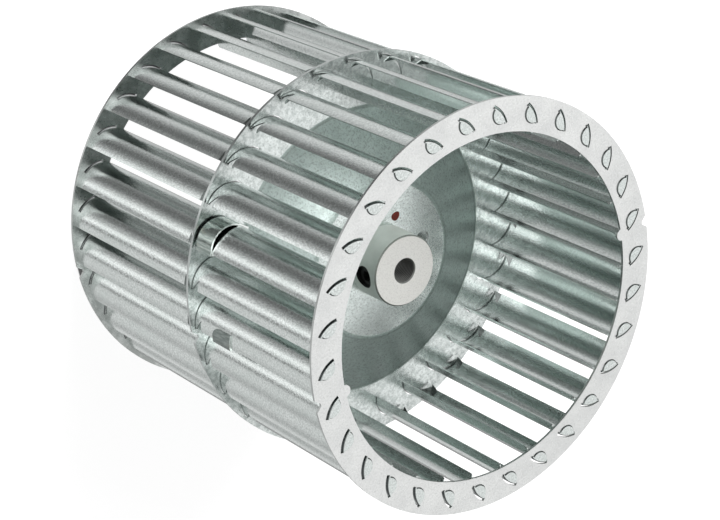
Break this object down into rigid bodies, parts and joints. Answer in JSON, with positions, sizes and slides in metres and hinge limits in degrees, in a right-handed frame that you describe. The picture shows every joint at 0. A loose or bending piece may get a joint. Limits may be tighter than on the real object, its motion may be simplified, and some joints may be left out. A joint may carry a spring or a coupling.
{
  "type": "blower wheel",
  "caption": "Double-inlet blower wheel: forward-curved sheet blades clinched into end rings and through a dished centre disc with a bored hub.",
  "frame": {"origin": "on the wheel's axis, at the height of the floor that the wheel stands on: the folded tabs of its rear ring", "axes": "+Z along the wheel's axis, towards the front ring and the hub's set-screw end; +X through a notch in the rims"},
  "size_m": [0.1602, 0.1602, 0.1645],
  "materials": {
    "blade_sheet": "galvanised sheet, streaked along the blade, satin",
    "ring_sheet": "galvanised sheet, pale and slightly mottled",
    "disc_sheet": "galvanised sheet with zinc spangle",
    "hub": "machined and zinc plated",
    "screw": "black oxide",
    "clip": "dull spring steel, dark and slightly green"
  },
  "bodies": {
    "root": {"blade_01": "blade_sheet", "blade_02": "blade_sheet", "blade_03": "blade_sheet", "blade_04": "blade_sheet", "blade_05": "blade_sheet", "blade_06": "blade_sheet", "blade_07": "blade_sheet", "blade_08": "blade_sheet", "blade_09": "blade_sheet", "blade_10": "blade_sheet", "blade_11": "blade_sheet", "blade_12": "blade_sheet", "blade_13": "blade_sheet", "blade_14": "blade_sheet", "blade_15": "blade_sheet", "blade_16": "blade_sheet", "blade_17": "blade_sheet", "blade_18": "blade_sheet", "blade_19": "blade_sheet", "blade_20": "blade_sheet", "blade_21": "blade_sheet", "blade_22": "blade_sheet", "blade_23": "blade_sheet", "blade_24": "blade_sheet", "blade_25": "blade_sheet", "blade_26": "blade_sheet", "blade_27": "blade_sheet", "blade_28": "blade_sheet", "blade_29": "blade_sheet", "blade_30": "blade_sheet", "front_ring": "ring_sheet", "rear_ring": "ring_sheet", "centre_disc": "disc_sheet", "hub": "hub", "set_screw": "screw", "balance_clip_long": "clip", "balance_clip_short": "clip"}
  },
  "joints": []
}
